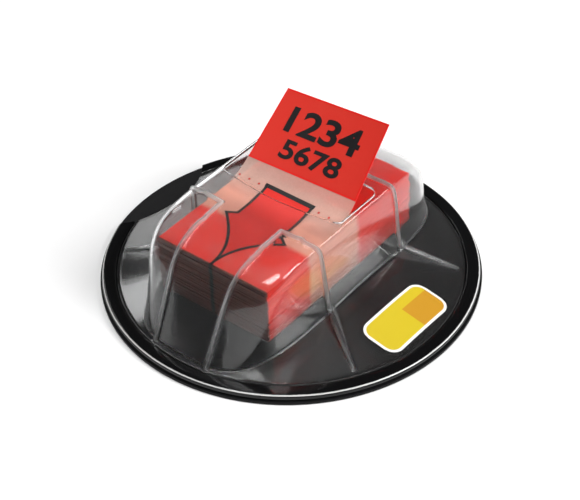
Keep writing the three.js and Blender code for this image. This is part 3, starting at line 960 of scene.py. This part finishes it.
def filmPoints(across, along, height=0.0):
    # a place on the film's upper face, raised by a height
    def bare(a, b):
        left, right = [pointsAt(b, filmRuns, edge) for edge in (leftEdge, rightEdge)]
        return left + (right - left) * (a / tabs["width"] + 0.5)[..., None]

    across, along = np.asarray(across, float), np.asarray(along, float)
    sideways = bare(across + 0.2, along) - bare(across - 0.2, along)
    onwards = bare(across, np.minimum(along + 0.3, filmLength)) - bare(across, np.maximum(along - 0.3, 0))
    normal = unit(np.cross(sideways, onwards))
    return bare(across, along) + normal * (np.asarray(height, float)[..., None] + drawnTab["thickness"])


def filmSolid(name, flat, faces, low, high, materials, mapped=False):
    # a thin closed solid over flat faces given across and along the film
    flat = np.asarray(flat, float)
    area = 0.0
    for face in faces[:200]:
        ring = flat[list(face)]
        area += np.sum(ring[:, 0] * np.roll(ring[:, 1], -1) - ring[:, 1] * np.roll(ring[:, 0], -1))
    if area < 0:
        faces = [tuple(reversed(face)) for face in faces]
    top, bottom = [filmPoints(*flat.T, np.full(len(flat), height)) for height in (high, low)]
    thing = closedSheet(name, top, bottom, faces, materials)
    if mapped:
        writeMap(thing, flat)
    return smooth(thing, 40)


def makeDrawnTab():
    alongs = np.linspace(0, filmLength, 121)
    acrosses = np.linspace(-tabs["width"] / 2, tabs["width"] / 2, 25)
    flat = np.array([(a, b) for b in alongs for a in acrosses])
    thing = filmSolid("drawnTab", flat, gridFaces(len(alongs), len(acrosses)), -drawnTab["thickness"], 0,
                      [drawnTabMaterial()], mapped=True)
    return standsFor(thing, "printed_film", "dispensed_tab")


# What is printed on the drawn tab

def inkMaterial(name, colour, roughness=0.4):
    material, tree, shader, place, group = newMaterial(name, roughness, 0.15, 200, 2600, 0.5, (0.15, 0.02))
    tree.links.new(tinted(tree, group, colour, 0.15), shader.inputs["Base Color"])
    return material


# The arrow printed on the film: across and along it, from the middle of its front edge
arrow = {
    "barbX": 7.3,
    "barbY": 12.5,
    "curve": 2.2,
    "shaftX": 5.45,
    "shaftStart": 13.7,
    "tail": 22.6,
    "line": 0.55,
    "tailLine": 0.85,
    "colour": (0.72, 0.018, 0.010),
    "ink": (0.010, 0.009, 0.009),
}


def arrowHalfWidth(along):
    head = arrow["barbX"] * (np.clip(along / arrow["barbY"], 0, 1)) ** arrow["curve"]
    shoulder = (along - arrow["barbY"]) / (arrow["shaftStart"] - arrow["barbY"])
    body = blend(arrow["barbX"], arrow["shaftX"], np.clip(shoulder, 0, 1))
    return np.where(along < arrow["barbY"], head, body)


def ribbon(points, width):
    # a strip along a line, with mitred turns; the width is one value or one for each point
    points = np.asarray(points, float)
    ahead = unit(np.vstack([points[1:] - points[:-1], points[-1:] - points[-2:-1]]))
    behind = np.vstack([ahead[:1], ahead[:-1]])
    middle = unit(ahead + behind)
    side = np.column_stack([-middle[:, 1], middle[:, 0]])
    stretch = 1 / np.maximum(np.sum(middle * ahead, axis=1), 0.5)
    half = side * (np.asarray(width) / 2 * stretch)[:, None]
    flat = np.empty((len(points) * 2, 2))
    flat[0::2], flat[1::2] = points - half, points + half
    faces = [(2 * i, 2 * i + 1, 2 * i + 3, 2 * i + 2) for i in range(len(points) - 1)]
    return flat, faces


def finePath(corners, pitch=0.4):
    corners = np.asarray(corners, float)
    runs = runsAlong(corners)
    return pointsAt(np.unique(np.concatenate([np.arange(0, runs[-1], pitch), runs])), runs, corners)


def makeArrow():
    alongs = np.linspace(0.05, arrow["tail"], 90)
    columns = 13
    flat = np.array([(share * float(arrowHalfWidth(b)), b) for b in alongs
                     for share in np.linspace(-1, 1, columns)])
    fill = filmSolid("arrowFill", flat, gridFaces(len(alongs), columns), 0.005, 0.02,
                     [inkMaterial("arrowRed", arrow["colour"], 0.36)])
    standsFor(fill, "printed_film")
    curve = np.linspace(0.05, arrow["barbY"], 40)
    side = [(float(arrowHalfWidth(b)), b) for b in curve]
    side += [(arrow["shaftX"], arrow["shaftStart"]), (arrow["shaftX"], arrow["tail"])]
    path = finePath(side + [(-x, y) for x, y in reversed(side)])
    flat, faces = ribbon(path, np.where(path[:, 1] > arrow["tail"] - 0.3, arrow["tailLine"], arrow["line"]))
    line = filmSolid("arrowLine", flat, faces, 0.025, 0.045, [inkMaterial("arrowInk", arrow["ink"])])
    return standsFor(line, "printed_film")


marks = {
    "rows": [("1234", 17.5, 5.3, 36.3), ("5678", 14.0, 4.0, 30.6)],
    "bold": 0.035,
    "ink": (0.009, 0.008, 0.009),
}


def makeMarks():
    # plain figures in the place of the panel's words
    pieces, ink = [], inkMaterial("markInk", marks["ink"])
    for number, (words, width, height, along) in enumerate(marks["rows"]):
        data = bpy.data.curves.new(f"figures{number}", "FONT")
        data.body, data.size, data.offset = words, 1.4 * height, marks["bold"] * height
        data.align_x, data.align_y, data.resolution_u = "CENTER", "CENTER", 6
        lettering = inScene(f"figures{number}", data)
        mesh = evaluatedMesh(lettering)
        bpy.data.objects.remove(lettering)
        work = bmesh.new()
        work.from_mesh(mesh)
        bmesh.ops.remove_doubles(work, verts=work.verts, dist=1e-5)
        for _ in range(2):
            long = [e for e in work.edges if e.calc_length() > 1.2]
            bmesh.ops.subdivide_edges(work, edges=long, cuts=1)
            bmesh.ops.triangulate(work, faces=work.faces)
        work.verts.index_update()
        flat = np.array([v.co[:2] for v in work.verts])
        faces = [tuple(v.index for v in face.verts) for face in work.faces]
        work.free()
        bpy.data.meshes.remove(mesh)
        middle, size = (flat.min(0) + flat.max(0)) / 2, np.ptp(flat, axis=0)
        flat = (flat - middle) / size * (width, height) + (0, along)
        thing = filmSolid(f"panelFigures{number}", flat, faces, 0.02, 0.05, [ink])
        pieces.append(standsFor(thing, "printed_film"))
    return pieces


# Small register dots on the film, either side of the arrow's tail
dots = {
    "columns": (7.2, 9.6, 12.0),
    "radius": 0.24,
    "beforeTail": 0.4,
    "ink": (0.42, 0.02, 0.012),
}


def makeDots():
    flat, faces = [], []
    for x in [side * column for side in (-1, 1) for column in dots["columns"]]:
        ring = arc((x, arrow["tail"] - dots["beforeTail"]), dots["radius"], 0, 360, 10)[:-1]
        faces.append(tuple(range(len(flat), len(flat) + len(ring))))
        flat.extend(ring)
    thing = filmSolid("registerDots", flat, faces, 0.005, 0.02, [inkMaterial("dotInk", dots["ink"])])
    return standsFor(thing, "printed_film")


# The sticker on the skirt

sticker = {
    "length": 17.5,
    "height": 8.4,
    "corner": 2.4,
    "gap": 0.12,
    "thickness": 0.12,
    "rimGap": 1.2,
    "turn": -1.5,
    "border": 0.5,
    "yellow": (0.56, 0.43, 0.018),
    "orange": (0.50, 0.25, 0.018),
    "white": (0.80, 0.80, 0.77),
}


def stickerMaterial():
    material, tree, shader, place, group = newMaterial(
        "stickerFilm", 0.3, 0.12, 130, 2200, 0.4, (0.1, 0.02))
    printMap = addNode(tree, "ShaderNodeUVMap", uv_map="print")
    axes = addNode(tree, "ShaderNodeSeparateXYZ", {"Vector": printMap.outputs["UV"]})
    stripe = maths(tree, "MULTIPLY", step(tree, axes.outputs["X"], 1.0, 0.05),
                   step(tree, axes.outputs["Y"], -1.6, 0.05))
    colour = mixColour(tree, stripe, sticker["yellow"], sticker["orange"])
    # each point holds how far it is from the sticker's edge
    edge = addNode(tree, "ShaderNodeAttribute", attribute_name="fromEdge", attribute_type="GEOMETRY")
    onBorder = below(tree, edge.outputs["Fac"], sticker["border"], 0.06)
    tree.links.new(mixColour(tree, onBorder, colour, sticker["white"]), shader.inputs["Base Color"])
    return material


def makeSticker():
    along = np.linspace(-1, 1, 61) * sticker["length"] / 2
    across = np.linspace(-1, 1, 31)
    straight = sticker["length"] / 2 - sticker["corner"]
    past = np.maximum(0, np.abs(along) - straight)
    cut = sticker["corner"] - np.sqrt(np.maximum(0, sticker["corner"] ** 2 - past ** 2))
    half = sticker["height"] / 2 - cut
    u = np.repeat(along, len(across))
    v = np.outer(half, across).ravel()
    x = skirtRadius - sticker["rimGap"] - sticker["height"] / 2 + v
    turn = math.radians(sticker["turn"])
    x, y = x * math.cos(turn) - u * math.sin(turn), x * math.sin(turn) + u * math.cos(turn)
    radius = np.hypot(x, y)
    base = coneHeight(radius) + sticker["gap"]
    top, bottom = [np.column_stack([x, y, base + lift]) for lift in (sticker["thickness"], 0.0)]
    thing = closedSheet("skirtSticker", top, bottom, gridFaces(len(along), len(across)), [stickerMaterial()])
    writeMap(thing, np.column_stack([u, v]))
    # distance to the rounded outline
    straightAcross = sticker["height"] / 2 - sticker["corner"]
    inner = np.maximum(np.abs(np.column_stack([u, v])) - (straight, straightAcross), 0)
    corner = np.linalg.norm(inner, axis=1)
    flatEdge = np.minimum(sticker["length"] / 2 - np.abs(u), sticker["height"] / 2 - np.abs(v))
    fromEdge = np.where(corner > 0, sticker["corner"] - corner, flatEdge)
    attribute = thing.data.attributes.new("fromEdge", "FLOAT", "POINT")
    attribute.data.foreach_set("value", np.tile(fromEdge, 2).astype(np.float32))
    tidyMesh(thing, mergeDistance=0.002)
    return standsFor(thing, "sticker_film", "skirt_sticker")


# Camera, lamps, floor and air

photoCamera = {
    "azimuth": 39.46,
    "elevation": 40.33,
    "roll": -1.57,
    "distance": 312.48,
    "aim": (-3.66, 4.28, 0.0),
    "sensor": 36.0,
    "lens": 98.77,
}


def makeCamera():
    azimuth, elevation, roll = [math.radians(photoCamera[k]) for k in ("azimuth", "elevation", "roll")]
    back = Vector((math.sin(azimuth) * math.cos(elevation), -math.cos(azimuth) * math.cos(elevation),
                   math.sin(elevation)))
    right = Vector((math.cos(azimuth), math.sin(azimuth), 0))
    up = back.cross(right)
    right, up = (math.cos(roll) * right + math.sin(roll) * up, math.cos(roll) * up - math.sin(roll) * right)
    place = (Vector(photoCamera["aim"]) + back * photoCamera["distance"]) * mm
    data = bpy.data.cameras.new("photoCamera")
    data.sensor_width, data.lens = photoCamera["sensor"], photoCamera["lens"]
    data.clip_start, data.clip_end = 0.02, 20
    thing = inScene("photoCamera", data)
    turn = Matrix((right, up, back)).transposed()
    thing.matrix_world = Matrix.Translation(place) @ turn.to_4x4()
    bpy.context.scene.camera = thing


# Name, place, size, watts. Each lamp looks at the object's middle.
lamps = [
    ("keyLamp", (520, 140, 430), 320, 4.5),
    ("topLamp", (-40, -160, 700), 300, 2.6),
    ("leftLamp", (-402, 180, 408), 90, 0.14),
    ("notchLamp", (-445, 273, 295), 100, 0.07),
    ("creaseLamp", (432, 354, 210), 150, 0.55),
    ("shoulderLamp", (-470, 350, 150), 220, 0.30),
]


def makeLamps():
    for name, place, size, watts in lamps:
        data = bpy.data.lights.new(name, "AREA")
        data.shape, data.size, data.energy = "SQUARE", size * mm, watts
        lamp = inScene(name, data)
        lamp.location = Vector(place) * mm
        lamp.rotation_euler = (-Vector(place)).to_track_quat("-Z", "Y").to_euler()


studio = {
    "floorSize": 4000,
    "floorColour": (0.82, 0.82, 0.82),
    "floorGlow": 0.08,
    "farGlow": 0.9,
    "farFrom": 0.12,
    "farTo": 0.7,
    "zenith": 0.9,
    "dark": 0.06,
    "backdrop": 0.8,
    "backdropSide": (-0.64, 0.77, 0.0),
    "backdropEdge": (0.35, 0.25),
    "backdropRise": (0.12, 0.34),
    "overheadRise": (0.80, 1.0),
    "cameraWhite": 0.995,
}


def makeFloor():
    half = studio["floorSize"] / 2
    floor = newObject("floor", [(-half, -half, 0), (half, -half, 0), (half, half, 0), (-half, half, 0)],
                      [(0, 1, 2, 3)])
    material = bpy.data.materials.new("paperSweep")
    material.use_nodes = True
    tree = material.node_tree
    shader = tree.nodes["Principled BSDF"]
    place = addNode(tree, "ShaderNodeTexCoord")
    grain = addNode(tree, "ShaderNodeTexNoise", {"Vector": place.outputs["Object"],
                                                 "Scale": 30.0, "Detail": 4.0})
    light = [channel * 1.01 for channel in studio["floorColour"]]
    tree.links.new(mixColour(tree, grain.outputs["Fac"], studio["floorColour"], light),
                   shader.inputs["Base Color"])
    shader.inputs["Roughness"].default_value = 0.9
    shader.inputs["Specular IOR Level"].default_value = 0.1
    # the sweep looks white where it is seen, straight, mirrored or through the clear sheet
    rays = addNode(tree, "ShaderNodeLightPath")
    seen = maths(tree, "ADD", rays.outputs["Is Camera Ray"], rays.outputs["Is Glossy Ray"])
    seen = maths(tree, "ADD", seen, rays.outputs["Is Transmission Ray"], clamp=True)
    distance = addNode(tree, "ShaderNodeVectorMath", {0: place.outputs["Object"]}, operation="LENGTH")
    glow = mapRange(tree, distance.outputs["Value"], studio["farFrom"], studio["farTo"],
                    studio["floorGlow"], studio["farGlow"])
    shader.inputs["Emission Color"].default_value = (1, 1, 1, 1)
    tree.links.new(maths(tree, "MULTIPLY", seen, glow), shader.inputs["Emission Strength"])
    floor.data.materials.append(material)


def makeWorld():
    world = bpy.data.worlds.new("studioAir")
    bpy.context.scene.world = world
    world.use_nodes = True
    tree = world.node_tree
    background = tree.nodes["Background"]
    place = addNode(tree, "ShaderNodeTexCoord")
    axes = addNode(tree, "ShaderNodeSeparateXYZ", {"Vector": place.outputs["Generated"]})
    # light overhead, dark further down, and a white backdrop low behind the object
    overhead, low = [mapRange(tree, axes.outputs["Z"], *values, interpolation_type="SMOOTHSTEP")
                     for values in ((*studio["overheadRise"], studio["dark"], studio["zenith"]),
                                    (*studio["backdropRise"], studio["backdrop"], 0.0))]
    facing = addNode(tree, "ShaderNodeVectorMath", {0: place.outputs["Generated"], 1: studio["backdropSide"]},
                     operation="DOT_PRODUCT")
    behind = step(tree, facing.outputs["Value"], *studio["backdropEdge"])
    air = maths(tree, "ADD", overhead, maths(tree, "MULTIPLY", low, behind))
    rays = addNode(tree, "ShaderNodeLightPath")
    strength = addNode(tree, "ShaderNodeMix", data_type="FLOAT")
    tree.links.new(rays.outputs["Is Camera Ray"], strength.inputs[0])
    tree.links.new(air, strength.inputs[2])
    strength.inputs[3].default_value = studio["cameraWhite"]
    background.inputs["Color"].default_value = (1, 1, 1, 1)
    tree.links.new(strength.outputs[0], background.inputs["Strength"])


stage("camera and studio")
makeCamera()
makeWorld()
makeLamps()
makeFloor()
stage("base")
makePad()
makeTray()
stage("stack")
makeStack()
stage("drawn tab and its print")
makeDrawnTab()
makeArrow()
makeMarks()
makeDots()
stage("cover")
makeCover()
makeSticker()

bpy.context.scene.view_settings.view_transform = "Standard"
